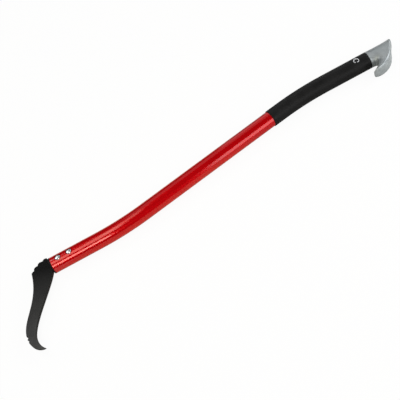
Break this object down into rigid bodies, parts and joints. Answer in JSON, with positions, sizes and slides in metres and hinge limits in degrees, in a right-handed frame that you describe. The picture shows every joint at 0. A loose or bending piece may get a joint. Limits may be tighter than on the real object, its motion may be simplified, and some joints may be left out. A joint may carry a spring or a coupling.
{
  "type": "pickaroon",
  "caption": "Hand pickaroon: a flat steel hook with a toothed back pinned into an S-bent red tube, with a drawn-on black grip and a cast hooked knob at the butt.",
  "frame": {"origin": "under the middle of the whole tool's box, on the surface that the tool lies on", "axes": "+X from the head to the butt along the handle's middle stretch, -Y towards the hook's point, +Z square to the hook plate and up from the surface"},
  "size_m": [0.8508, 0.1586, 0.0323],
  "materials": {
    "blackened_steel": "satin black coat on steel",
    "socket_plastic": "matt moulded plastic",
    "red_tube": "gloss red coat on drawn tube",
    "bright_steel": "bright ground",
    "grip_black": "satin shrunk sleeve",
    "cast_alloy": "satin blasted casting"
  },
  "bodies": {
    "root": {"hook_head": "blackened_steel", "tang_socket": "socket_plastic", "handle_tube": "red_tube", "head_pin_front": "bright_steel", "head_pin_rear": "bright_steel", "grip_sleeve": "grip_black", "butt_cap": "cast_alloy", "butt_pin": "bright_steel"}
  },
  "joints": []
}
